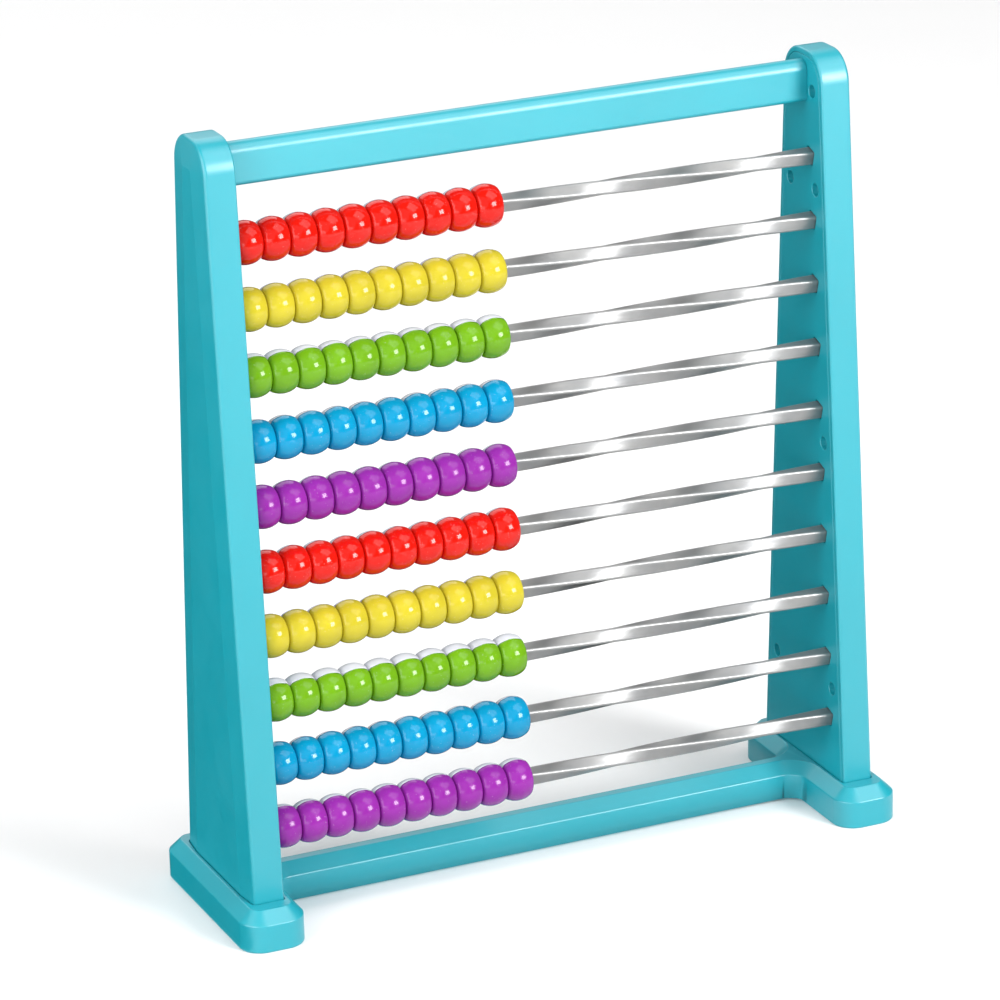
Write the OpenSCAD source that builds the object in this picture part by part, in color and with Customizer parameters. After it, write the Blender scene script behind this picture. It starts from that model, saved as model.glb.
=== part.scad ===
// Counting frame with ten twisted rods and one hundred two-colour beads.
// Millimetres, +Z up, front towards -Y, rods along X.
// The origin is the middle of the footprint, on the surface it stands on.

/* [Frame] */
// Clear width between the two uprights
inner_w = 251; // [245:1:270]
// Overall height
frame_h = 323.3; // [321:0.1:340]
// Thickness of an upright at its edges
upright_t = 13; // [12.5:0.1:14]
// How far the middle of an upright's outer face stands proud
upright_crown = 1.2; // [0.6:0.1:2]
// Depth of an upright where it leaves its foot
upright_low_d = 71.4; // [70:0.1:73]
// Depth of an upright at its top, before the corners are rounded
upright_top_d = 31.1; // [29:0.1:33]
// Radius of an upright's top corners
upright_top_r = 13; // [12.5:0.1:14]

/* [Base] */
// Height of the feet and of the bottom rail's top
foot_h = 16.5; // [15:0.1:17]
// Width of a foot across the frame
foot_w = 27.2; // [26:0.1:30]
// Length of a foot, front to back
foot_d = 94; // [90:1:100]
// Radius of a foot's corners seen from above
foot_corner_r = 9.5; // [8:0.5:11]
// Bevel around the top edge of the base
base_bevel = 4.9; // [3:0.1:5]
// Thickness of the bottom rail, front to back
base_rail_d = 14; // [12:0.5:16]
// Gap under the bottom rail
base_rail_lift = 1.2; // [0.6:0.1:2]

/* [Top rail] */
// Height of the top rail's section
top_rail_h = 17.1; // [16:0.1:19]
// Thickness of the top rail
top_rail_t = 8.7; // [8:0.1:10]
// Height of the top rail's underside
top_rail_z = 302.1; // [300:0.1:303]

/* [Rods] */
// Side of a rod's square section
rod_side = 5.8; // [5:0.1:6]
// Height of the bottom rod
bottom_rod_z = 41.5; // [40:0.5:44]
// Distance between neighbouring rods in height
rod_pitch = 26.51; // [26.2:0.01:26.8]
// Distance of every rod behind the uprights' front edge
rod_setback = 12.1; // [11:0.1:13]
// Turn of a rod's section where it meets the right upright
rod_right_turn = 14; // [0:1:45]

/* [Beads] */
// Diameter of a bead
bead_d = 17.5; // [16:0.1:18]
// Width of a bead along its rod
bead_w = 11.2; // [10:0.1:11.5]
// Gap between neighbouring beads
bead_gap = 0.06; // [0.04:0.01:0.1]
// Gap between a full row of beads and an upright
wall_gap = 0.5; // [0.3:0.1:1]
// Wall of the coloured half cap
cap_t = 0.5; // [0.4:0.05:0.7]

/* [Screws] */
// Diameter of the recess around a cover screw
screw_recess_d = 5.4; // [5:0.1:5.8]
// Distance of the cover screws inside an upright's edge
screw_inset = 8.4; // [7.6:0.1:9]
// Height of the top pair of cover screws
top_screw_z = 307.3; // [306:0.1:308]

/* [Hidden] */
$fn = 64;
teal = [0.2, 0.72, 0.78];
bright = [0.78, 0.79, 0.8];
white = [0.95, 0.95, 0.93];
row_colours = [[0.89, 0.13, 0.1], [0.9, 0.82, 0.16], [0.42, 0.73, 0.2], [0.1, 0.58, 0.84], [0.56, 0.18, 0.68]];

rows = 10;
group = 5;
half_w = inner_w / 2;
outer_x = half_w + upright_t;
mid_x = half_w + upright_t / 2;
foot_x = half_w + (upright_t + upright_crown) / 2;

// Upright profile: half depth at a height, and the lean of its edges
taper = (upright_low_d - upright_top_d) / 2 / (frame_h - foot_h);
lean = atan(taper);
function half_depth(z) = upright_low_d / 2 - taper * (z - foot_h);

// Upright shells and covers
shell_wall = 3;
rim_w = 2.3;
cover_t = 3.5;
cover_gap = 0.1;
tongue_z = 5;
tongue_block_z = 17;
socket_gap = 0.35;
crown_inset = 12;

// Tenons on the top rail's ends
tenon_t = 5;
tenon_h = 11;
tenon_l = 8;

// Rods: their place, and the turn that their twist gives a bead over its full travel
bead_pitch = bead_w + bead_gap;
travel = inner_w - 2 * wall_gap - 2 * group * bead_pitch + bead_gap;
flip = 180;
twist_rate = flip / travel;
rod_l = inner_w + 2 * (upright_t - shell_wall - 0.4);
rod_corner = 0.6;
rod_slices = 39;
socket_clear = 0.3;
function turn_at(x) = rod_right_turn + (x - half_w) * twist_rate;
function rod_z(row) = bottom_rod_z + (rows - row) * rod_pitch;
function rod_y(row) = rod_setback - half_depth(rod_z(row));

// Beads: the bore clears the rod's corners all round
rod_reach = norm([rod_side / 2, rod_side / 2 - rod_corner]);
bore_r = rod_reach + 0.25;
cap_gap = 0.1;
crown_r = 9.3;
seam_turn = [-10, -10, 8, -6, -12, -9, -16, 14, -14, -2];
shoulder_r = 2.4;

// Screws
cover_screws = [for (h = [top_screw_z, for (row = [1, 5, 9]) rod_z(row) - rod_pitch / 2]) h];
sleeve_r = 3.2;
recess_depth = 4.4;
sleeve_end = 5.6;
head_r = 2.3;
head_h = 1.8;
shank_r = 1.2;
shank_l = 5.2;
pilot_gap = 0.06;
foot_screw_y = 21;
foot_head_r = 3;
foot_head_h = 2;
foot_recess = 2.4;
foot_shank_r = 1.5;
foot_shank_l = 11;

function row_name(row) = row < 10 ? str("row0", row) : str("row", row);
function rod_name(row) = row < 10 ? str("rod_0", row) : str("rod_", row);
SIDES = ["left", "right"];

// ---------- shared shapes ----------

// Lays a 2D shape drawn as (depth, height) in the YZ plane and extrudes it from x for a length
module along_x(x, length) {
    translate([x, 0, 0]) rotate([90, 0, 90]) linear_extrude(length) children();
}

// Mirrors its children to the left side when side is "left"
module on_side(side) {
    mirror([side == "left" ? 1 : 0, 0, 0]) children();
}

// Side profile of an upright, drawn as (depth, height): tapered, with round top corners
module upright_outline(inset, low_z) {
    r = upright_top_r - inset;
    top = frame_h - inset;
    edge = inset / cos(lean);
    cy = half_depth(top - r) - (inset + r) / cos(lean);
    ty = cy + r * cos(lean);
    tz = top - r + r * sin(lean);
    low_y = half_depth(low_z) - edge;
    polygon([[-low_y, low_z], [low_y, low_z], [ty, tz], [cy, top], [-cy, top], [-ty, tz]]);
    for (y = [-cy, cy]) translate([y, top - r]) circle(r);
}

// Square rod section with its corners taken off
module rod_section(grow) {
    h = rod_side / 2 + grow;
    c = rod_corner;
    polygon([
        [h, h - c], [h - c, h], [c - h, h], [-h, h - c],
        [-h, c - h], [c - h, -h], [h - c, -h], [h, c - h]
    ]);
}

// Places children at each cover screw of the right upright, with local Z running into the upright
module at_cover_screws() {
    for (z = cover_screws, s = [-1, 1])
        translate([half_w, s * (half_depth(z) - screw_inset / cos(lean)), z]) rotate([0, 90, 0]) children();
}

// Places children at each screw under the right foot
module at_foot_screws() {
    for (s = [-1, 1]) translate([mid_x, s * foot_screw_y, 0]) children();
}

// ---------- base ----------

module foot_plan(inset) {
    w = foot_w / 2 - foot_corner_r;
    d = foot_d / 2 - foot_corner_r;
    r = foot_corner_r - inset;
    square([2 * w + 2 * r, 2 * d], center = true);
    square([2 * w, 2 * d + 2 * r], center = true);
    for (x = [-w, w], y = [-d, d]) translate([x, y]) circle(r, $fn = 32);
}

module foot() {
    hull() {
        linear_extrude(foot_h - base_bevel) foot_plan(0);
        linear_extrude(foot_h) foot_plan(base_bevel);
    }
}

module bottom_rail() {
    d = base_rail_d / 2;
    along_x(-half_w, inner_w) polygon([
        [-d, base_rail_lift], [d, base_rail_lift], [d, foot_h - base_bevel],
        [d - base_bevel, foot_h], [base_bevel - d, foot_h], [-d, foot_h - base_bevel]
    ]);
}

// Concave corner where the rail runs into a foot
module rail_fillet() {
    r = 8;
    inner_x = foot_x - foot_w / 2;
    for (s = [-1, 1]) mirror([0, s < 0 ? 1 : 0, 0])
        translate([inner_x - r, base_rail_d / 2, base_rail_lift])
            linear_extrude(foot_h - base_bevel - base_rail_lift) difference() {
                translate([0, -1]) square([r + 1, r + 1]);
                translate([0, r]) circle(r);
            }
}

module foot_socket() {
    along_x(half_w - socket_gap, upright_t + 2 * socket_gap)
        upright_outline(-socket_gap, tongue_z - socket_gap);
}

module base() {
    color(teal) difference() {
        union() {
            bottom_rail();
            for (side = SIDES) on_side(side) {
                translate([foot_x, 0, 0]) foot();
                rail_fillet();
            }
        }
        for (side = SIDES) on_side(side) {
            foot_socket();
            at_foot_screws() {
                translate([0, 0, -1]) cylinder(r = foot_head_r + 0.3, h = foot_recess + 1);
                cylinder(r = foot_shank_r + 0.2, h = foot_h);
            }
        }
    }
}

module base_screws() {
    color(bright) for (side = SIDES) on_side(side) at_foot_screws() difference() {
        union() {
            translate([0, 0, foot_recess - foot_head_h]) cylinder(r = foot_head_r, h = foot_head_h);
            translate([0, 0, foot_recess]) cylinder(r = foot_shank_r, h = foot_shank_l);
        }
        cross_slot(foot_recess - foot_head_h);
    }
}

// Cross recess cut upwards into a screw head whose face is at z
module cross_slot(z) {
    for (a = [0, 90]) translate([0, 0, z]) rotate([0, 0, a]) cube([2.6, 0.6, 2], center = true);
}

// ---------- uprights ----------

module upright_outer(side) {
    color(teal) on_side(side) difference() {
        union() {
            difference() {
                along_x(half_w, upright_t) upright_outline(0, tongue_z);
                along_x(half_w - 1, upright_t - shell_wall + 1) upright_outline(shell_wall, tongue_block_z);
                along_x(half_w - 1, cover_t + 1 + cover_gap) upright_outline(rim_w, 0);
            }
            outer_crown();
            at_cover_screws() translate([0, 0, sleeve_end + 0.2])
                cylinder(r = sleeve_r - 0.4, h = upright_t - sleeve_end - 1);
        }
        at_cover_screws() cylinder(r = shank_r + pilot_gap, h = recess_depth + shank_l + 0.3);
        at_foot_screws() cylinder(r = foot_shank_r + pilot_gap, h = foot_recess + foot_shank_l + 0.5);
    }
}

// Shallow raised panel on the outer face, fading out towards the edges
module outer_crown() {
    hull() {
        along_x(outer_x - 1, 0.9) upright_outline(0.4, foot_h + 0.6, $fn = 32);
        along_x(outer_x, upright_crown) upright_outline(crown_inset, foot_h + 8, $fn = 32);
    }
}

module upright_inner(side) {
    tenon_z = top_rail_z + top_rail_h / 2;
    cover_x = half_w + cover_t / 2;
    color(teal) on_side(side) difference() {
        union() {
            along_x(half_w, cover_t) upright_outline(rim_w + cover_gap, tongue_z);
            at_cover_screws() cylinder(r = sleeve_r, h = sleeve_end);
        }
        at_cover_screws() {
            translate([0, 0, -1]) cylinder(d = screw_recess_d, h = recess_depth + 1);
            cylinder(r = shank_r + 0.2, h = sleeve_end + 1);
        }
        for (row = [1:rows])
            translate([0, rod_y(row), rod_z(row)]) rotate([turn_at(side == "left" ? -cover_x : cover_x), 0, 0])
                along_x(half_w - 1, cover_t + 2) rod_section(socket_clear);
        translate([cover_x, 0, tenon_z])
            cube([cover_t + 2, tenon_t + 0.3, tenon_h + 0.3], center = true);
    }
}

module upright_screws(side) {
    color(bright) on_side(side) at_cover_screws() difference() {
        union() {
            translate([0, 0, recess_depth - head_h]) cylinder(r = head_r, h = head_h);
            translate([0, 0, recess_depth]) cylinder(r = shank_r, h = shank_l);
        }
        cross_slot(recess_depth - head_h);
    }
}

// ---------- top rail ----------

module top_rail() {
    r = top_rail_t / 2;
    low_r = 2;
    color(teal) {
        along_x(-half_w, inner_w) {
            translate([-r, top_rail_z + low_r]) square([top_rail_t, top_rail_h - r - low_r]);
            translate([low_r - r, top_rail_z]) square([top_rail_t - 2 * low_r, low_r + 1]);
            for (s = [-1, 1]) translate([s * (r - low_r), top_rail_z + low_r]) circle(low_r);
            translate([0, top_rail_z + top_rail_h - r]) circle(r);
        }
        translate([0, 0, top_rail_z + top_rail_h / 2])
            cube([inner_w + 2 * tenon_l, tenon_t, tenon_h], center = true);
    }
}

// ---------- rods ----------

// Turning steadily all along, with its ends held in the covers' sockets
module rod(row) {
    color(bright) translate([-rod_l / 2, rod_y(row), rod_z(row)]) rotate([turn_at(-rod_l / 2), 0, 0])
        rotate([90, 0, 90])
            linear_extrude(rod_l, twist = -twist_rate * rod_l, slices = rod_slices, $fn = 8) rod_section(0);
}

// ---------- beads ----------

// Outline of half a bead, as (radius, place along the rod), all round inside its surface by inset.
// A large arc crowns it, and a smaller one rounds it into each flat end.
function bead_outline(inset) =
    let (
        half = bead_w / 2 - inset,
        crown = crown_r - inset,
        shoulder = shoulder_r - inset,
        flat = half - shoulder,
        meet = asin(flat / (crown - shoulder)),
        crown_x = bead_d / 2 - crown_r,
        shoulder_x = crown_x + (crown - shoulder) * cos(meet)
    ) concat(
        [[bore_r, -half]],
        [for (i = [0:5]) let (a = -90 + i / 6 * (90 - meet)) [shoulder_x, -flat] + shoulder * [cos(a), sin(a)]],
        [for (i = [0:12]) let (a = meet * (i / 6 - 1)) [crown_x, 0] + crown * [cos(a), sin(a)]],
        [for (i = [5:-1:0]) let (a = 90 - i / 6 * (90 - meet)) [shoulder_x, flat] + shoulder * [cos(a), sin(a)]],
        [[bore_r, half]]
    );

// Places children at each bead of a group of five; "left" is the five next to the left upright
module at_beads(row, side) {
    first = side == "left" ? 0 : group;
    for (i = [first:first + group - 1])
        translate([-half_w + wall_gap + bead_w / 2 + i * bead_pitch, rod_y(row), rod_z(row)])
            rotate([0, 90, 0]) children();
}

module cores(row, side) {
    color(white) at_beads(row, side) rotate_extrude() polygon(bead_outline(cap_t + cap_gap));
}

// Half shells over the front of the cores, turned a little differently in each row
module caps(row, side) {
    inner = bead_outline(cap_t);
    color(row_colours[(row - 1) % len(row_colours)]) at_beads(row, side)
        rotate([0, 0, 180 + seam_turn[row - 1]]) rotate_extrude(angle = 180)
            polygon(concat(bead_outline(0), [for (i = [len(inner) - 1:-1:0]) inner[i]]));
}

// ---------- one line for each node ----------

base();
top_rail();
base_screws();
for (side = SIDES) {
    upright_outer(side);
    upright_inner(side);
    upright_screws(side);
}
for (row = [1:rows]) {
    rod(row);
    for (side = SIDES) {
        cores(row, side);
        caps(row, side);
    }
}
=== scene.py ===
import math
import random

import bmesh
import bpy
from mathutils import Matrix, Vector
from mathutils.geometry import tessellate_polygon


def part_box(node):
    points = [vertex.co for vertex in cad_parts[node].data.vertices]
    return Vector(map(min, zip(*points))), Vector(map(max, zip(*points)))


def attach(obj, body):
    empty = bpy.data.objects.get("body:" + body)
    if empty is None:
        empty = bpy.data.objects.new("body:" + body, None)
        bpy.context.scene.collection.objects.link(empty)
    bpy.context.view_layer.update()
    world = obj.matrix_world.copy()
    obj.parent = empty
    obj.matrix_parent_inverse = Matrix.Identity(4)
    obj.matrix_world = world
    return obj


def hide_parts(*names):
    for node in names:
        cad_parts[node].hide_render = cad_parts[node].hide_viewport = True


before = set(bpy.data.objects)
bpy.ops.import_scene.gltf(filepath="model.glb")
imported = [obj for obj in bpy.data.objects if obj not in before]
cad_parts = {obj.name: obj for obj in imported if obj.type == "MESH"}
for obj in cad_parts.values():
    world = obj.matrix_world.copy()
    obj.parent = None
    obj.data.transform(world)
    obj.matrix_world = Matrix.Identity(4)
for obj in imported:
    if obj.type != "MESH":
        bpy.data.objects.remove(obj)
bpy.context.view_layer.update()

MM = 0.001
ROWS = 10
GROUP = 5
SIDES = (("left", -1), ("right", 1))

# ---------- places and sizes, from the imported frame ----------

base_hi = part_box("base")[1]
shell_lo, shell_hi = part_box("right_upright_outer")
cover_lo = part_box("right_upright_inner")[0]
rail_lo, rail_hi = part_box("top_rail")

HALF_W = cover_lo.x / MM                    # inner faces of the covers
CROWN = 1.2                                 # how far an outer face's panel stands proud
OUTER_X = shell_hi.x / MM - CROWN           # outer faces at their edges
FRAME_H = shell_hi.z / MM
FOOT_H = base_hi.z / MM
TONGUE_Z = shell_lo.z / MM
FOOT_OUT = base_hi.x / MM
FOOT_HALF_D = base_hi.y / MM
FOOT_W = 27.2
FOOT_R = 9.5                                # corners of the feet in plan
FILLET = 8.0                                # between the feet and the bottom rail
BEVEL = 4.9                                 # along the base's upper edge
RAIL_HALF = 7.0                             # half width of the bottom rail
RAIL_LIFT = 1.2                             # its gap above the surface it stands on
LOW_HALF = 35.7                             # half depth of an upright at the top of its foot
TOP_HALF = 15.55                            # the same at its top, before the corners are rounded
TOP_R = 13.0
CROWN_INSET = 12.0                          # from an outer face's edge to its proud panel
PANEL_ROUND = 6.0
SHELL_WALL = 3.0
RIM = 2.3                                   # width of the shell's rim round the cover
RIM_ROUND = 0.9
OUTER_ROUND = 1.6
COVER_T = 3.5
COVER_GAP = 0.1                             # between the cover and the shell
TONGUE_BLOCK_Z = 17.0                       # top of the solid end that enters the foot
UNDER_TONGUE = 0.35
WELL_GAP = 0.33                             # round an upright in its foot
SCREW_INSET = 8.4
RECESS_R = 2.7
RECESS_DEPTH = 4.4
SLEEVE_R = 3.2
SLEEVE_END = 5.6
SHANK_HOLE_R = 1.4
COVER_HEAD_H = 1.8
TOP_SCREW_Z = 307.3
FOOT_SCREW_X = 6.5                          # beyond the cover's inner face
FOOT_SCREW_Y = 21.0
SOCKET_CLEAR = 0.3                          # of a cover's socket round its rod
BEAD_D = 17.5
BEAD_W = 11.2
BEAD_PITCH = 11.26
BEAD_TRAVEL = 137.46
BORE_CLEAR = 0.25                           # of a bead's square bore round the rod

TAPER = (LOW_HALF - TOP_HALF) / (FRAME_H - FOOT_H)
LEAN = math.atan(TAPER)
ROD_TWIST = math.radians(180 / BEAD_TRAVEL)     # turn of the rods for each millimetre
ROD_TURN = math.radians(14)                     # turn of their section at the right cover
ROD_HALF = 2.9
SEAM_TURNS = (-10, -10, 14, -4, -12, -9, -16, 22, -12, 2)   # each row's seam, in degrees


def half_depth(z):
    """Half depth of an upright at a height."""
    return LOW_HALF - TAPER * (z - FOOT_H)


def rod_place(row):
    """Depth and height (y, z) of a rod's axis, in mm."""
    lo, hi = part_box("rod_%02d" % row)
    return (lo.y + hi.y) / 2 / MM, (lo.z + hi.z) / 2 / MM


ROD_PLACES = {row: rod_place(row) for row in range(1, ROWS + 1)}
FIRST_BEAD_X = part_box("row01_left_caps")[0].x / MM + BEAD_W / 2
PITCH_Z = ROD_PLACES[1][1] - ROD_PLACES[2][1]
SCREW_HEIGHTS = [TOP_SCREW_Z] + [ROD_PLACES[row][1] - PITCH_Z / 2 for row in (1, 5, 9)]


def turn_at(x):
    """Turn of a rod's section at a place along it."""
    return ROD_TURN + (x - HALF_W) * ROD_TWIST


# ---------- mesh building ----------

class Shape:
    """Rings of points in mm, and the faces between them."""

    def __init__(self):
        self.points = []
        self.faces = []

    def ring(self, points):
        """Adds a ring and gives the numbers of its points."""
        start = len(self.points)
        self.points.extend(points)
        return list(range(start, len(self.points)))

    def bridge(self, a, b):
        """Faces between two rings with the same number of points."""
        count = len(a)
        for i in range(count):
            j = (i + 1) % count
            self.faces.append((a[i], a[j], b[j], b[i]))

    def chain(self, rings):
        for a, b in zip(rings, rings[1:]):
            self.bridge(a, b)

    def fill(self, outer, holes=()):
        """A flat face inside a ring, less the holes."""
        loops = [outer] + list(holes)
        flat = [i for loop in loops for i in loop]
        corners = [[Vector(self.points[i]) for i in loop] for loop in loops]
        for triangle in tessellate_polygon(corners):
            self.faces.append(tuple(flat[k] for k in triangle))

    def add(self, other, matrix):
        """Adds a copy of another shape, moved by a matrix."""
        start = len(self.points)
        self.points.extend(tuple(matrix @ Vector(p)) for p in other.points)
        self.faces.extend(tuple(i + start for i in face) for face in other.faces)


def make(name, shape, material, body, nodes):
    """The smooth-shaded piece of a shape, which rides on a body and replaces CAD nodes."""
    mesh = bpy.data.meshes.new(name)
    mesh.from_pydata([Vector(p) * MM for p in shape.points], [], shape.faces)
    work = bmesh.new()
    work.from_mesh(mesh)
    bmesh.ops.recalc_face_normals(work, faces=work.faces)
    for face in work.faces:
        face.smooth = True
    work.to_mesh(mesh)
    work.free()
    piece = bpy.data.objects.new(name, mesh)
    bpy.context.scene.collection.objects.link(piece)
    mesh.materials.append(material)
    normals = piece.modifiers.new("face weighted normals", "WEIGHTED_NORMAL")
    normals.weight = 50
    normals.keep_sharp = True
    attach(piece, body)
    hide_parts(*nodes)
    return piece


def arc(cx, cy, r, a0, a1, steps):
    """Points along an arc about (cx, cy), from angle a0 to a1."""
    angles = [a0 + (a1 - a0) * i / steps for i in range(steps + 1)]
    return [(cx + r * math.cos(a), cy + r * math.sin(a)) for a in angles]


def circle(r, steps=32):
    """Points round a circle about the origin."""
    angles = [2 * math.pi * i / steps for i in range(steps)]
    return [(r * math.cos(a), r * math.sin(a)) for a in angles]


def rounded(corners, inset=0.0, steps=8):
    """Closed outline through counter-clockwise (x, y, radius) corners, all moved inwards by inset."""
    points = []
    count = len(corners)
    for i, (x, y, r) in enumerate(corners):
        before, after = corners[i - 1], corners[(i + 1) % count]
        a = math.atan2(y - before[1], x - before[0])
        b = math.atan2(after[1] - y, after[0] - x)
        turn = (b - a + math.pi) % (2 * math.pi) - math.pi
        side = 1 if turn > 0 else -1
        reach = r * math.tan(abs(turn) / 2)
        cx = x - reach * math.cos(a) - side * r * math.sin(a)
        cy = y - reach * math.sin(a) + side * r * math.cos(a)
        out = r - side * inset
        start = a - side * math.pi / 2
        points += arc(cx, cy, out, start, start + turn, steps)
    return points


def soften(profile, radii, steps=4):
    """An open profile with the corners between its ends rounded; a radius of 0 keeps a corner."""
    points = [profile[0]]
    for before, corner, after, r in zip(profile, profile[1:], profile[2:], radii):
        p, c, n = Vector(before), Vector(corner), Vector(after)
        into, out = (c - p).normalized(), (n - c).normalized()
        turn = into.angle_signed(out)
        if r == 0 or abs(turn) < 1e-4:
            points.append(corner)
            continue
        reach = r * math.tan(abs(turn) / 2)
        start = c - into * reach
        normal = Vector((-into.y, into.x))
        if normal.dot(out) < 0:
            normal = -normal
        centre = start + normal * r
        for k in range(steps + 1):
            share = k / steps
            ray = (start - centre).normalized().slerp((c + out * reach - centre).normalized(), share)
            points.append(tuple(centre + ray * r))
    points.append(profile[-1])
    return points


# ---------- frame ----------

def upright_outline(inset, low_z, steps=20):
    """Side outline of an upright as (y, z): straight bottom, leaning sides, round top corners."""
    r = TOP_R
    side_reach = half_depth(low_z) - inset / math.cos(LEAN)
    corner_y = half_depth(FRAME_H)
    low_y = half_depth(low_z)
    corners = [(low_y, low_z, 0), (corner_y, FRAME_H, r), (-corner_y, FRAME_H, r), (-low_y, low_z, 0)]
    arcs = rounded(corners, 0, steps)[steps + 1:3 * (steps + 1)]
    cy = half_depth(FRAME_H - r) - r / math.cos(LEAN)
    moved = []
    for y, z in arcs:
        centre = Vector((cy if y > 0 else -cy, FRAME_H - r))
        moved.append(tuple(centre + (Vector((y, z)) - centre) * (r - inset) / r))
    return [(side_reach, low_z)] + moved + [(-side_reach, low_z)]


def upright_ring(shape, side, x, inset, low_z):
    """An upright's side outline at a distance x from the middle of the frame."""
    return shape.ring([(side * x, y, z) for y, z in upright_outline(inset, low_z)])


def upright_outer(side):
    """The shell: open towards the cover, with a rim round it and a proud panel on its outer face."""
    shape = Shape()
    seat = HALF_W + COVER_T + COVER_GAP
    panel_x = OUTER_X + CROWN
    profile = soften([(seat, RIM), (HALF_W, RIM), (HALF_W, 0.0), (OUTER_X, 0.0), (panel_x, CROWN_INSET),
                      (panel_x, CROWN_INSET + 0.9)], [0.25, RIM_ROUND, OUTER_ROUND, PANEL_ROUND], 5)
    cavity = [upright_ring(shape, side, OUTER_X - SHELL_WALL + 0.6, SHELL_WALL, TONGUE_BLOCK_Z),
              upright_ring(shape, side, seat, SHELL_WALL, TONGUE_BLOCK_Z)]
    # Each ring ends a little higher than the last, so that no face at the bottom is without area
    skin = []
    for i, (x, inset) in enumerate(profile[:-1]):
        skin.append(upright_ring(shape, side, x, inset, TONGUE_Z + 0.02 * i))
    skin.append(upright_ring(shape, side, *profile[-1], TONGUE_Z + 1.5))
    shape.fill(cavity[0])
    shape.chain(cavity + skin)
    shape.fill(skin[-1])
    return shape


def cover_screw_places():
    """A front and a rear place (y, z) at each height."""
    return [(s * (half_depth(z) - SCREW_INSET / math.cos(LEAN)), z) for z in SCREW_HEIGHTS for s in (1, -1)]


def square_section(half, r, steps=4, between=2):
    """Rounded square about the origin, with points along its sides."""
    corners = [(half, -half, r), (half, half, r), (-half, half, r), (-half, -half, r)]
    outline = rounded(corners, 0, steps)
    points = []
    for k in range(4):
        block = outline[k * (steps + 1):(k + 1) * (steps + 1)]
        following = outline[((k + 1) * (steps + 1)) % len(outline)]
        points += block
        for m in range(1, between + 1):
            share = m / (between + 1)
            points.append((block[-1][0] + (following[0] - block[-1][0]) * share,
                           block[-1][1] + (following[1] - block[-1][1]) * share))
    return points


def turned(points, angle, y, z):
    """A section turned about its middle and moved to (y, z)."""
    c, s = math.cos(angle), math.sin(angle)
    return [(y + a * c - b * s, z + a * s + b * c) for a, b in points]


def upright_inner(side):
    """The cover: screw recesses that end in sleeves, and sockets for the rods."""
    shape = Shape()
    edge = soften([(HALF_W + COVER_T, RIM + 0.14), (HALF_W, RIM + 0.14), (HALF_W, RIM + 2.0)], [0.25], 3)
    skin = [upright_ring(shape, side, x, inset, TONGUE_Z + 0.1) for x, inset in edge]
    front_holes, back_holes = [], []
    for y, z in cover_screw_places():
        wall = soften([(RECESS_R + 0.8, HALF_W), (RECESS_R, HALF_W), (RECESS_R, HALF_W + RECESS_DEPTH),
                       (SHANK_HOLE_R, HALF_W + RECESS_DEPTH), (SHANK_HOLE_R, HALF_W + SLEEVE_END),
                       (SLEEVE_R, HALF_W + SLEEVE_END), (SLEEVE_R, HALF_W + COVER_T)], [0.3, 0, 0, 0, 0], 3)
        rings = [shape.ring([(side * x, y + a, z + b) for a, b in circle(r)]) for r, x in wall]
        shape.chain(rings)
        front_holes.append(rings[0])
        back_holes.append(rings[-1])
    middle = side * (HALF_W + COVER_T / 2)
    for row, (y, z) in ROD_PLACES.items():
        wall = [(0.6, HALF_W), (0.2, HALF_W), (0.06, HALF_W + 0.06), (0.0, HALF_W + 0.2),
                (0.0, HALF_W + COVER_T)]
        rings = []
        for grow, x in wall:
            half = ROD_HALF + SOCKET_CLEAR + grow
            section = turned(square_section(half, 0.9 + grow, 4, 0), turn_at(middle), y, z)
            rings.append(shape.ring([(side * x, a, b) for a, b in section]))
        shape.chain(rings)
        front_holes.append(rings[0])
        back_holes.append(rings[-1])
    shape.chain(skin)
    shape.fill(skin[-1], front_holes)
    shape.fill(skin[0], back_holes)
    return shape


def top_rail():
    """The rail between the covers, with a half-round top."""
    r = (rail_hi.y - rail_lo.y) / 2 / MM
    low, high = rail_lo.z / MM, rail_hi.z / MM
    corners = [(r, low, 2.0), (r, high, r), (-r, high, r), (-r, low, 2.0)]
    shape = Shape()
    end = HALF_W - 0.02
    rings = []
    for x, inset in soften([(-end, 1.4), (-end, 0.0), (end, 0.0), (end, 1.4)], [0.35, 0.35], 3):
        rings.append(shape.ring([(x, y, z) for y, z in rounded(corners, inset, 10)]))
    shape.chain(rings)
    shape.fill(rings[0])
    shape.fill(rings[-1])
    return shape


def base_corners():
    """The H-shaped plan, counter-clockwise from the right foot's front outer corner."""
    inner = FOOT_OUT - FOOT_W
    r, f = FOOT_R, FILLET
    o, d, w = FOOT_OUT, FOOT_HALF_D, RAIL_HALF
    return [(o, -d, r), (o, d, r), (inner, d, r), (inner, w, f), (-inner, w, f), (-inner, d, r), (-o, d, r),
            (-o, -d, r), (-inner, -d, r), (-inner, -w, f), (inner, -w, f), (inner, -d, r)]


def socket_outline(grow, r_in, r_out):
    """Section of an upright where it enters its foot, all round outside it by grow, for the right side."""
    d = half_depth(FOOT_H) + grow
    a, b, c = HALF_W - grow, OUTER_X + grow, OUTER_X + CROWN + grow
    panel = d - CROWN_INSET
    corners = [(a, -d, r_in), (b, -d, r_out), (c, -panel, PANEL_ROUND), (c, panel, PANEL_ROUND),
               (b, d, r_out), (a, d, r_in)]
    return rounded(corners, 0, 5)


def plan_ring(shape, side, outline, z):
    """A plan outline at a height, mirrored for the left side."""
    return shape.ring([(side * x, y, z) for x, y in outline])


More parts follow.
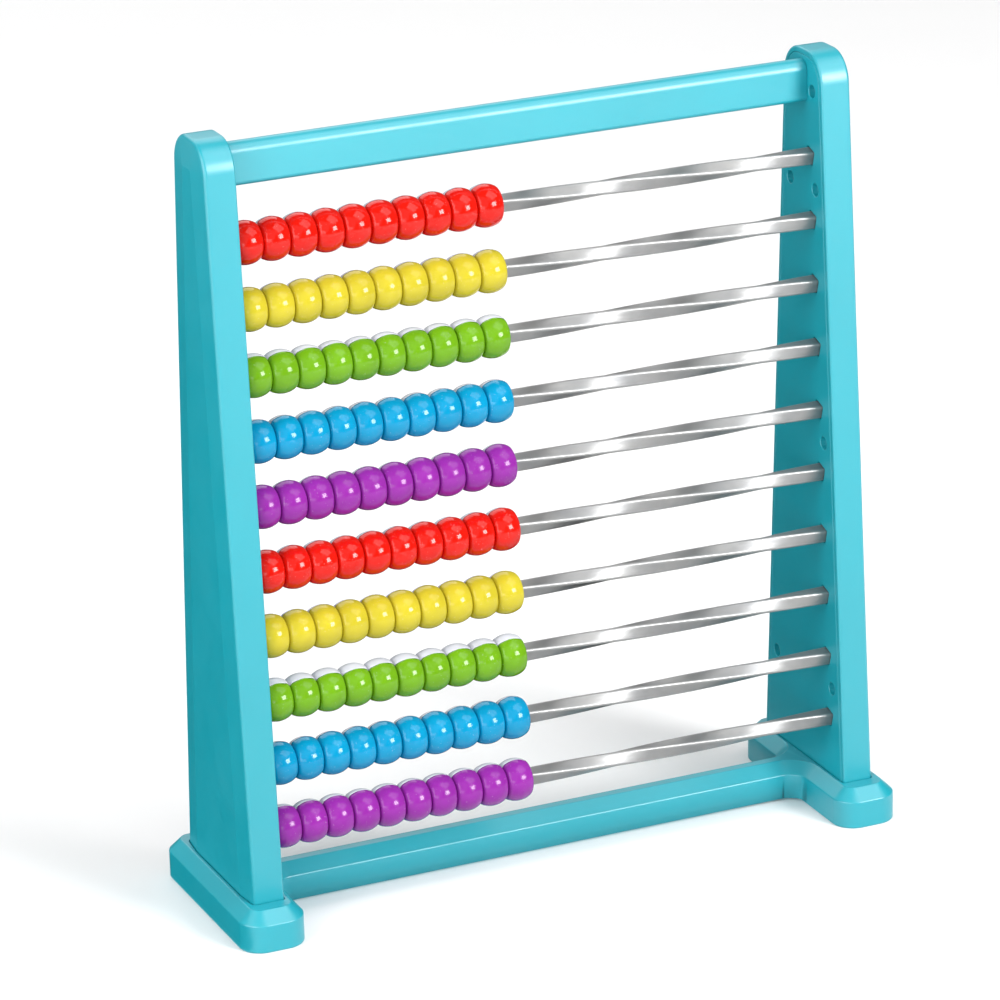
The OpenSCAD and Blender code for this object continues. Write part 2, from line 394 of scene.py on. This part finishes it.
def base():
    """Both feet and the bottom rail: bevelled above, with a well for each upright, and screw holes below."""
    shape = Shape()
    corners = base_corners()
    steps = 18
    block = steps + 1
    profile = soften([(0.0, RAIL_LIFT), (0.0, FOOT_H - BEVEL), (BEVEL, FOOT_H), (BEVEL + 0.6, FOOT_H)],
                     [0.9, 0.7], 4)
    skin = [plan_ring(shape, 1, rounded(corners, inset, steps), z) for inset, z in profile]
    shape.chain(skin)
    wells = {}
    for side in (1, -1):
        lip = ((0.75, FOOT_H), (0.5, FOOT_H), (0.38, FOOT_H - 0.08), (WELL_GAP, FOOT_H - 0.3))
        well = []
        for grow, z in lip:
            well.append(plan_ring(shape, side, socket_outline(grow, RIM_ROUND + grow, OUTER_ROUND + grow), z))
        well.append(plan_ring(shape, side, socket_outline(WELL_GAP, 1.2, 1.9), TONGUE_Z - UNDER_TONGUE))
        shape.chain(well)
        wells[side] = well
    shape.fill(skin[-1], [well[0] for well in wells.values()])

    # Undersides: each foot with its rounded bottom edge and screw holes, and the lifted rail.
    # The numbers are those of the plan's corners, in base_corners' order.
    low = skin[0]
    for side, blocks in ((1, (11, 0, 1, 2)), (-1, (5, 6, 7, 8))):
        rim = [low[b * block + k] for b in blocks for k in range(block)]
        loop = [low[(blocks[0] - 1) * block + steps]] + rim + [low[(blocks[-1] + 1) * block]]
        flat = [shape.points[i][:2] for i in loop]
        rounds = []
        for inset, z in soften([(0.0, RAIL_LIFT), (0.0, 0.0), (1.5, 0.0)], [0.6], 3)[1:]:
            rounds.append(shape.ring(inset_loop(flat, inset, z)))
        shape.chain([loop] + rounds)
        mouths, ends = [], []
        for s in (1, -1):
            x, y = side * (HALF_W + FOOT_SCREW_X), s * FOOT_SCREW_Y
            wall = soften([(4.5, 0.0), (3.3, 0.0), (3.3, 2.4), (1.7, 2.4), (1.7, TONGUE_Z - UNDER_TONGUE)],
                          [0.3, 0, 0], 3)[1:]
            rings = [shape.ring([(x + a, y + b, z) for a, b in circle(r)]) for r, z in wall]
            shape.chain(rings)
            mouths.append(rings[0])
            ends.append(rings[-1])
        shape.fill(rounds[-1], mouths)
        shape.fill(wells[side][-1], ends)
    shape.fill([low[b * block + k] for b in (3, 4, 9, 10) for k in range(block)])
    return shape


def inset_loop(flat, inset, z):
    """A closed plan outline moved inwards by inset, at a height."""
    moved = []
    count = len(flat)
    for i in range(count):
        p, c, n = Vector(flat[i - 1]), Vector(flat[i]), Vector(flat[(i + 1) % count])
        a, b = (c - p).normalized(), (n - c).normalized()
        left = Vector((-a.y - b.y, a.x + b.x)).normalized()
        cut = max(0.3, left.dot(Vector((-a.y, a.x))))
        moved.append(tuple(c + left * inset / cut) + (z,))
    return moved


# ---------- rods ----------

def rod(row):
    """A square rod with rounded corners, twisted evenly from end to end."""
    lo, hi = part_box("rod_%02d" % row)
    x0, x1 = lo.x / MM, hi.x / MM
    y, z = ROD_PLACES[row]
    shape = Shape()
    rings = []
    count = 200
    stations = [(x0, 0.3), (x0 + 0.1, 0.1), (x0 + 0.3, 0.0)]
    stations += [(x0 + 0.3 + (x1 - x0 - 0.6) * i / count, 0.0) for i in range(1, count)]
    stations += [(x1 - 0.3, 0.0), (x1 - 0.1, 0.1), (x1, 0.3)]
    for x, inset in stations:
        section = turned(square_section(ROD_HALF - inset, 1.0 - inset), turn_at(x), y, z)
        rings.append(shape.ring([(x, a, b) for a, b in section]))
    shape.chain(rings)
    shape.fill(rings[0])
    shape.fill(rings[-1])
    return shape


# ---------- beads ----------

def bead_profile():
    """Half section of a bead as (radius, place along the rod) from one flat end to the other."""
    crown, shoulder = 9.3, 2.4
    half = BEAD_W / 2
    flat = half - shoulder
    meet = math.asin(flat / (crown - shoulder))
    crown_x = BEAD_D / 2 - crown
    shoulder_x = crown_x + (crown - shoulder) * math.cos(meet)
    points = arc(shoulder_x, -flat, shoulder, -math.pi / 2, -meet, 7)
    points += arc(crown_x, 0, crown, -meet, meet, 14)[1:-1]
    points += arc(shoulder_x, flat, shoulder, meet, math.pi / 2, 7)
    return points


def bore_radius(angle, grow):
    """Distance from the axis to a rounded square's side, in the direction angle."""
    half = ROD_HALF + BORE_CLEAR + grow
    r = 1.1 + grow
    a = abs((angle + math.pi / 4) % (math.pi / 2) - math.pi / 4)
    flat = half / math.cos(a)
    corner = half - r
    if flat * math.sin(a) <= corner:
        return flat
    c = corner * (math.cos(a) + math.sin(a))
    return c + math.sqrt(max(0.0, c * c - 2 * corner * corner + r * r))


def bead_half(front, centre_x, seam):
    """One half of a bead about the rod's axis, open to a bore that turns with the rod."""
    shape = Shape()
    outer = bead_profile()
    half = BEAD_W / 2
    steps = 32
    flare = 0.25
    bore = [(half, flare), (half * 0.97, 0.05), (half * 0.6, 0), (half * 0.2, 0), (-half * 0.2, 0),
            (-half * 0.6, 0), (-half * 0.97, 0.05), (-half, flare)]
    shares = (0.25, 0.5, 0.75)
    strips = []
    for k in range(steps + 1):
        # angle 0 points back (+Y) and a quarter turn points up; the front half spans the side towards -Y
        angle = (math.pi / 2 if front else -math.pi / 2) + math.pi * k / steps + seam
        inner_r = bore_radius(angle - turn_at(centre_x + half), flare)
        outer_r = outer[-1][0]
        line = outer + [(outer_r + (inner_r - outer_r) * share, half) for share in shares]
        line += [(bore_radius(angle - turn_at(centre_x + x), grow), x) for x, grow in bore]
        inner_r = bore_radius(angle - turn_at(centre_x - half), flare)
        line += [(inner_r + (outer[0][0] - inner_r) * share, -half) for share in shares]
        strips.append(shape.ring([(centre_x + x, r * math.cos(angle), r * math.sin(angle)) for r, x in line]))
    for a, b in zip(strips, strips[1:]):
        shape.bridge(a, b)
    shape.fill(strips[0])
    shape.fill(strips[-1])
    return shape


# ---------- screws ----------

def screw(head_r, head_h, shank_r, shank_l, slot_half, slot_w):
    """A screw along +Z with a cross recess, its head's face at the origin."""
    shape = Shape()
    tip = head_h + shank_l
    profile = soften([(head_r * 0.82, 0.0), (head_r, 0.25), (head_r, head_h), (shank_r, head_h),
                      (shank_r, tip - shank_r), (0.25, tip)], [0.25, 0.15, 0, 0.2], 3)
    rings = [shape.ring([(x, y, z) for x, y in circle(r, 24)]) for r, z in profile]
    shape.chain(rings)
    shape.fill(rings[-1])
    w, l = slot_w / 2, slot_half
    cross = [(l, -w), (l, w), (w, w), (w, l), (-w, l), (-w, w), (-l, w), (-l, -w), (-w, -w), (-w, -l),
             (w, -l), (w, -w)]
    top = shape.ring([(x, y, 0.0) for x, y in cross])
    low = shape.ring([(x * 0.72, y * 0.72, head_h * 0.62) for x, y in cross])
    shape.bridge(top, low)
    shape.fill(low)
    shape.fill(rings[0], [top])
    return shape


def cover_screws(side):
    """The eight screws of one cover, each at the bottom of its recess."""
    one = screw(2.3, COVER_HEAD_H, 1.2, 5.2, 1.45, 0.6)
    shape = Shape()
    to_x = Matrix.Rotation(math.radians(90) * side, 4, "Y")
    for i, (y, z) in enumerate(cover_screw_places()):
        spin = Matrix.Rotation(0.4 + 1.1 * i, 4, "Z")
        place = Matrix.Translation((side * (HALF_W + RECESS_DEPTH - COVER_HEAD_H), y, z))
        shape.add(one, place @ to_x @ spin)
    return shape


def base_screws():
    """The four screws under the feet."""
    one = screw(3.0, 2.0, 1.5, 11.0, 1.9, 0.8)
    shape = Shape()
    for i, (side, s) in enumerate(((1, 1), (1, -1), (-1, 1), (-1, -1))):
        spin = Matrix.Rotation(0.7 + 0.9 * i, 4, "Z")
        place = Matrix.Translation((side * (HALF_W + FOOT_SCREW_X), s * FOOT_SCREW_Y, 0.4))
        shape.add(one, place @ spin)
    return shape


# ---------- materials ----------

class Nodes:
    """A material's node tree, with short ways to add and join nodes."""

    def __init__(self, name):
        self.material = bpy.data.materials.new(name)
        self.material.use_nodes = True
        self.tree = self.material.node_tree
        self.shader = self.tree.nodes["Principled BSDF"]
        self.place = self.add("ShaderNodeTexCoord").outputs["Object"]

    def add(self, kind, **values):
        """A new node; each value goes to the input or the property of that name."""
        node = self.tree.nodes.new(kind)
        for key, value in values.items():
            if key in node.inputs:
                self.put(node.inputs[key], value)
            else:
                setattr(node, key, value)
        return node

    def put(self, socket, value):
        """Links a socket or sets a value."""
        if isinstance(value, bpy.types.NodeSocket):
            self.tree.links.new(value, socket)
        else:
            socket.default_value = value

    def noise(self, scale, detail=2.0, stretch=None):
        """Noise over the piece, from 0 to 1; scale is its cells for each metre."""
        place = self.place
        if stretch:
            place = self.add("ShaderNodeVectorMath", operation="MULTIPLY")
            self.put(place.inputs[0], self.place)
            self.put(place.inputs[1], stretch)
            place = place.outputs[0]
        return self.add("ShaderNodeTexNoise", Vector=place, Scale=scale, Detail=detail).outputs["Fac"]

    def ramp(self, value, low, high, out_low=0.0, out_high=1.0):
        """A value between low and high, spread over the range from out_low to out_high."""
        node = self.add("ShaderNodeMapRange")
        for i, v in enumerate((value, low, high, out_low, out_high)):
            self.put(node.inputs[i], v)
        return node.outputs[0]

    def mix(self, share, a, b):
        node = self.add("ShaderNodeMix", data_type="RGBA")
        self.put(node.inputs[0], share)
        self.put(node.inputs[6], a)
        self.put(node.inputs[7], b)
        return node.outputs[2]

    def math(self, operation, a, b):
        node = self.add("ShaderNodeMath", operation=operation)
        self.put(node.inputs[0], a)
        self.put(node.inputs[1], b)
        return node.outputs[0]

    def bump(self, height, strength, distance, under=None):
        node = self.add("ShaderNodeBump", Height=height, Strength=strength, Distance=distance)
        if under is not None:
            self.put(node.inputs["Normal"], under)
        return node.outputs["Normal"]

    def edge_wear_and_highlight(self, low, high):
        """Sharp outer edges, from the mesh's own curvature; a mask for worn edges and for painted edge
        highlights.
        """
        return self.ramp(self.add("ShaderNodeNewGeometry").outputs["Pointiness"], low, high)

    def finish(self, **sockets):
        """Puts the named values on the shader's sockets and gives the material."""
        for key, value in sockets.items():
            self.put(self.shader.inputs[key.replace("_", " ")], value)
        return self.material


def linear(r, g, b):
    """A colour given as 0 to 255 display values."""
    def one(v):
        v /= 255.0
        return v / 12.92 if v <= 0.04045 else ((v + 0.055) / 1.055) ** 2.4
    return (one(r), one(g), one(b), 1.0)


def scaled(colour, k):
    """A colour made lighter or darker."""
    return tuple(min(1.0, c * k) for c in colour[:3]) + (1.0,)


def frame_plastic():
    """Satin moulded plastic, with pale specks, and edges made paler partly as wear and partly as a painted
    highlight.
    """
    n = Nodes("frame_plastic")
    tone = (0.001, 0.320, 0.395, 1.0)
    cloud = n.ramp(n.noise(14, 3), 0.3, 0.7)
    colour = n.mix(cloud, scaled(tone, 0.96), scaled(tone, 1.04))
    speck = n.ramp(n.noise(420, 2), 0.66, 0.80)
    colour = n.mix(n.math("MULTIPLY", speck, 0.05), colour, scaled(tone, 1.6))
    # Painted highlight, partly wear: rounded edges lightened towards the colour of the lit front faces
    colour = n.mix(n.math("MULTIPLY", n.edge_wear_and_highlight(0.54, 0.66), 0.16), colour, linear(120, 214, 224))
    rough = n.ramp(n.noise(60, 3), 0.3, 0.7, 0.34, 0.42)
    grain = n.bump(n.noise(1500, 2), 0.08, 0.00006)
    wave = n.bump(n.noise(30, 1), 0.06, 0.0006, grain)
    n.shader.inputs["Specular IOR Level"].default_value = 1.0
    return n.finish(Base_Color=colour, Roughness=rough, Normal=wave, IOR=1.5)


def rod_metal():
    """Drawn steel, streaked along its length, with a painted highlight along its edges."""
    n = Nodes("rod_metal")
    streak = n.noise(420, 3, (0.10, 1.0, 1.0))
    blotch = n.noise(70, 3)
    colour = n.mix(n.ramp(blotch, 0.3, 0.7), linear(124, 125, 126), linear(142, 142, 141))
    colour = n.mix(n.math("MULTIPLY", n.ramp(streak, 0.45, 0.8), 0.25), colour, linear(140, 142, 144))
    # Painted highlight: the rods' rounded edges lightened to near white
    colour = n.mix(n.math("MULTIPLY", n.edge_wear_and_highlight(0.51, 0.56), 0.35), colour, linear(226, 226, 224))
    rough = n.ramp(streak, 0.3, 0.7, 0.34, 0.46)
    fine = n.bump(n.noise(1900, 2, (0.25, 1.0, 1.0)), 0.25, 0.00006)
    dents = n.bump(n.noise(160, 2), 0.18, 0.0003, fine)
    return n.finish(Base_Color=colour, Roughness=rough, Metallic=0.75, Normal=dents)


def screw_steel():
    """Bright plated steel."""
    n = Nodes("screw_steel")
    swirl = n.noise(500, 3)
    colour = n.mix(n.ramp(swirl, 0.3, 0.7), linear(120, 124, 128), linear(168, 170, 172))
    rough = n.ramp(swirl, 0.3, 0.7, 0.28, 0.42)
    grain = n.bump(n.noise(1500), 0.2, 0.0001)
    return n.finish(Base_Color=colour, Roughness=rough, Metallic=1.0, Normal=grain)


def bead_plastic(name, colour, rough):
    """Shiny moulded plastic of one colour, given as 0 to 255 display values."""
    n = Nodes(name)
    tone = linear(*colour)
    cloud = n.ramp(n.noise(85, 2), 0.3, 0.7)
    shade = n.mix(cloud, scaled(tone, 0.92), scaled(tone, 1.06))
    speck = n.ramp(n.noise(1300, 1), 0.70, 0.80)
    shade = n.mix(n.math("MULTIPLY", speck, 0.12), shade, (0.9, 0.9, 0.88, 1.0))
    gloss = n.ramp(n.noise(300, 3), 0.3, 0.7, rough - 0.03, rough + 0.04)
    skin = n.bump(n.noise(700, 2), 0.06, 0.00010)
    wave = n.bump(n.noise(220, 2), 0.06, 0.0003, skin)
    n.shader.inputs["Specular IOR Level"].default_value = 0.28
    return n.finish(Base_Color=shade, Roughness=gloss, Normal=wave, IOR=1.5)


PLASTIC = frame_plastic()
METAL = rod_metal()
STEEL = screw_steel()
WHITE = bead_plastic("bead_white", (205, 207, 216), 0.24)
COLOURS = (("red", (206, 22, 10), 0.07), ("yellow", (190, 176, 44), 0.08), ("green", (103, 156, 22), 0.08),
           ("blue", (7, 139, 183), 0.08), ("purple", (138, 40, 150), 0.14))    # name, colour, roughness
BEADS = [bead_plastic("bead_" + name, colour, rough) for name, colour, rough in COLOURS]

# ---------- pieces ----------

make("base_moulding", base(), PLASTIC, "frame", ["base"])
make("top_rail_moulding", top_rail(), PLASTIC, "frame", ["top_rail"])
for side_name, side in SIDES:
    prefix = side_name + "_upright_"
    make(prefix + "shell", upright_outer(side), PLASTIC, "frame", [prefix + "outer"])
    make(prefix + "cover", upright_inner(side), PLASTIC, "frame", [prefix + "inner"])
    make(prefix + "cover_screws", cover_screws(side), STEEL, "frame", [prefix + "screws"])
make("base_underside_screws", base_screws(), STEEL, "frame", ["base_screws"])
for row in range(1, ROWS + 1):
    make("twisted_rod_%02d" % row, rod(row), METAL, "frame", ["rod_%02d" % row])

random.seed(11)
for row in range(1, ROWS + 1):
    y, z = ROD_PLACES[row]
    colour_index = (row - 1) % len(COLOURS)
    for group, (side_name, _) in enumerate(SIDES):
        fronts, backs = Shape(), Shape()
        for i in range(GROUP):
            x = FIRST_BEAD_X + (group * GROUP + i) * BEAD_PITCH
            seam = math.radians(SEAM_TURNS[row - 1] + random.uniform(-2.0, 2.0))
            place = Matrix.Translation((0, y, z))
            fronts.add(bead_half(True, x, seam), place)
            backs.add(bead_half(False, x, seam), place)
        stem = "row%02d_%s" % (row, side_name)
        body = stem + "_fronts"
        make(stem + "_bead_fronts", fronts, BEADS[colour_index], body,
             [stem + "_caps"])
        make(stem + "_bead_backs", backs, WHITE, body, [stem + "_cores"])

# ---------- camera ----------

EYE = Vector((-0.7870, -1.7526, 0.8567))
AIM = Vector((-0.0119, 0.0, 0.1540))
ROLL = math.radians(-1.43)
forward = (AIM - EYE).normalized()
level = forward.cross(Vector((0, 0, 1))).normalized()
plumb = level.cross(forward)
right = level * math.cos(ROLL) + plumb * math.sin(ROLL)
up = plumb * math.cos(ROLL) - level * math.sin(ROLL)
camera_data = bpy.data.cameras.new("camera")
camera_data.lens = 182.7
camera_data.sensor_width = 36
camera_data.clip_end = 30
camera = bpy.data.objects.new("camera", camera_data)
bpy.context.scene.collection.objects.link(camera)
axes = Matrix((right, up, -forward)).transposed()
camera.matrix_world = Matrix.Translation(EYE) @ axes.to_4x4()
bpy.context.scene.camera = camera

# ---------- floor and light ----------

def sheet(name, corners, colour):
    """A flat sheet of the studio, from its corners in metres."""
    mesh = bpy.data.meshes.new(name)
    mesh.from_pydata(corners, [], [tuple(range(len(corners)))])
    plane = bpy.data.objects.new(name, mesh)
    bpy.context.scene.collection.objects.link(plane)
    n = Nodes(name + "_paper")
    n.finish(Base_Color=n.mix(n.noise(3, 2), scaled(colour, 0.98), colour), Roughness=0.9)
    n.shader.inputs["Specular IOR Level"].default_value = 0.0
    mesh.materials.append(n.material)
    plane.visible_transmission = False
    return plane


def square(half, z):
    """Corners of a level square about the origin."""
    return [(-half, -half, z), (half, -half, z), (half, half, z), (-half, half, z)]


def floor():
    """White paper for the camera and for reflections, over a greyer table that lights the undersides."""
    paper = sheet("floor", square(7.0, 0.0), (0.93, 0.93, 0.93, 1.0))
    paper.visible_diffuse = False
    table = sheet("table", square(7.0, -0.003), (0.84, 0.84, 0.84, 1.0))
    table.visible_camera = False
    table.visible_glossy = False
    table.visible_shadow = False


def flag():
    """A black sheet behind the object on its left, seen only in reflections."""
    corners = [(-1.1, -0.05, 0.001), (-0.15, -0.05, 0.001), (-0.1, 0.01, 0.001), (0.11, 0.01, 0.001),
               (0.11, 1.6, 0.001), (-1.1, 1.6, 0.001)]
    cloth = sheet("flag", corners, (0.01, 0.01, 0.01, 1.0))
    cloth.visible_camera = False
    cloth.visible_diffuse = False
    cloth.visible_shadow = False


def softbox(name, azimuth, elevation, distance, width, height, power):
    """A rectangular light that faces the middle of the object. Azimuth 0 is in front of it."""
    light = bpy.data.lights.new(name, "AREA")
    light.shape = "RECTANGLE"
    light.size = width
    light.size_y = height
    light.energy = power
    a, e = math.radians(azimuth), math.radians(elevation)
    back = Vector((math.sin(a) * math.cos(e), -math.cos(a) * math.cos(e), math.sin(e)))
    lamp = bpy.data.objects.new(name, light)
    lamp.location = Vector((0, 0, 0.16)) + back * distance
    lamp.rotation_mode = "QUATERNION"
    lamp.rotation_quaternion = (-back).to_track_quat("-Z", "Y")
    bpy.context.scene.collection.objects.link(lamp)
    lamp.visible_camera = False


floor()
softbox("key", 29, 21, 2.2, 0.80, 0.74, 44)
softbox("overhead", 52, 60, 2.6, 1.8, 1.8, 25)
softbox("strip", 23, 38, 2.6, 1.2, 4.0, 10)
softbox("wide", -45, 34, 3.0, 4.6, 3.4, 34)
softbox("left", -75, 20, 2.5, 2.4, 2.4, 54)
softbox("low", -40, 7, 2.5, 1.8, 0.7, 12)
softbox("back", 180, 42, 3.4, 3.6, 2.6, 60)
flag()
world = bpy.data.worlds.new("studio")
world.use_nodes = True
world.node_tree.nodes["Background"].inputs["Color"].default_value = (1, 1, 1, 1)
world.node_tree.nodes["Background"].inputs["Strength"].default_value = 0.12
bpy.context.scene.world = world
bpy.context.scene.view_settings.view_transform = "Standard"
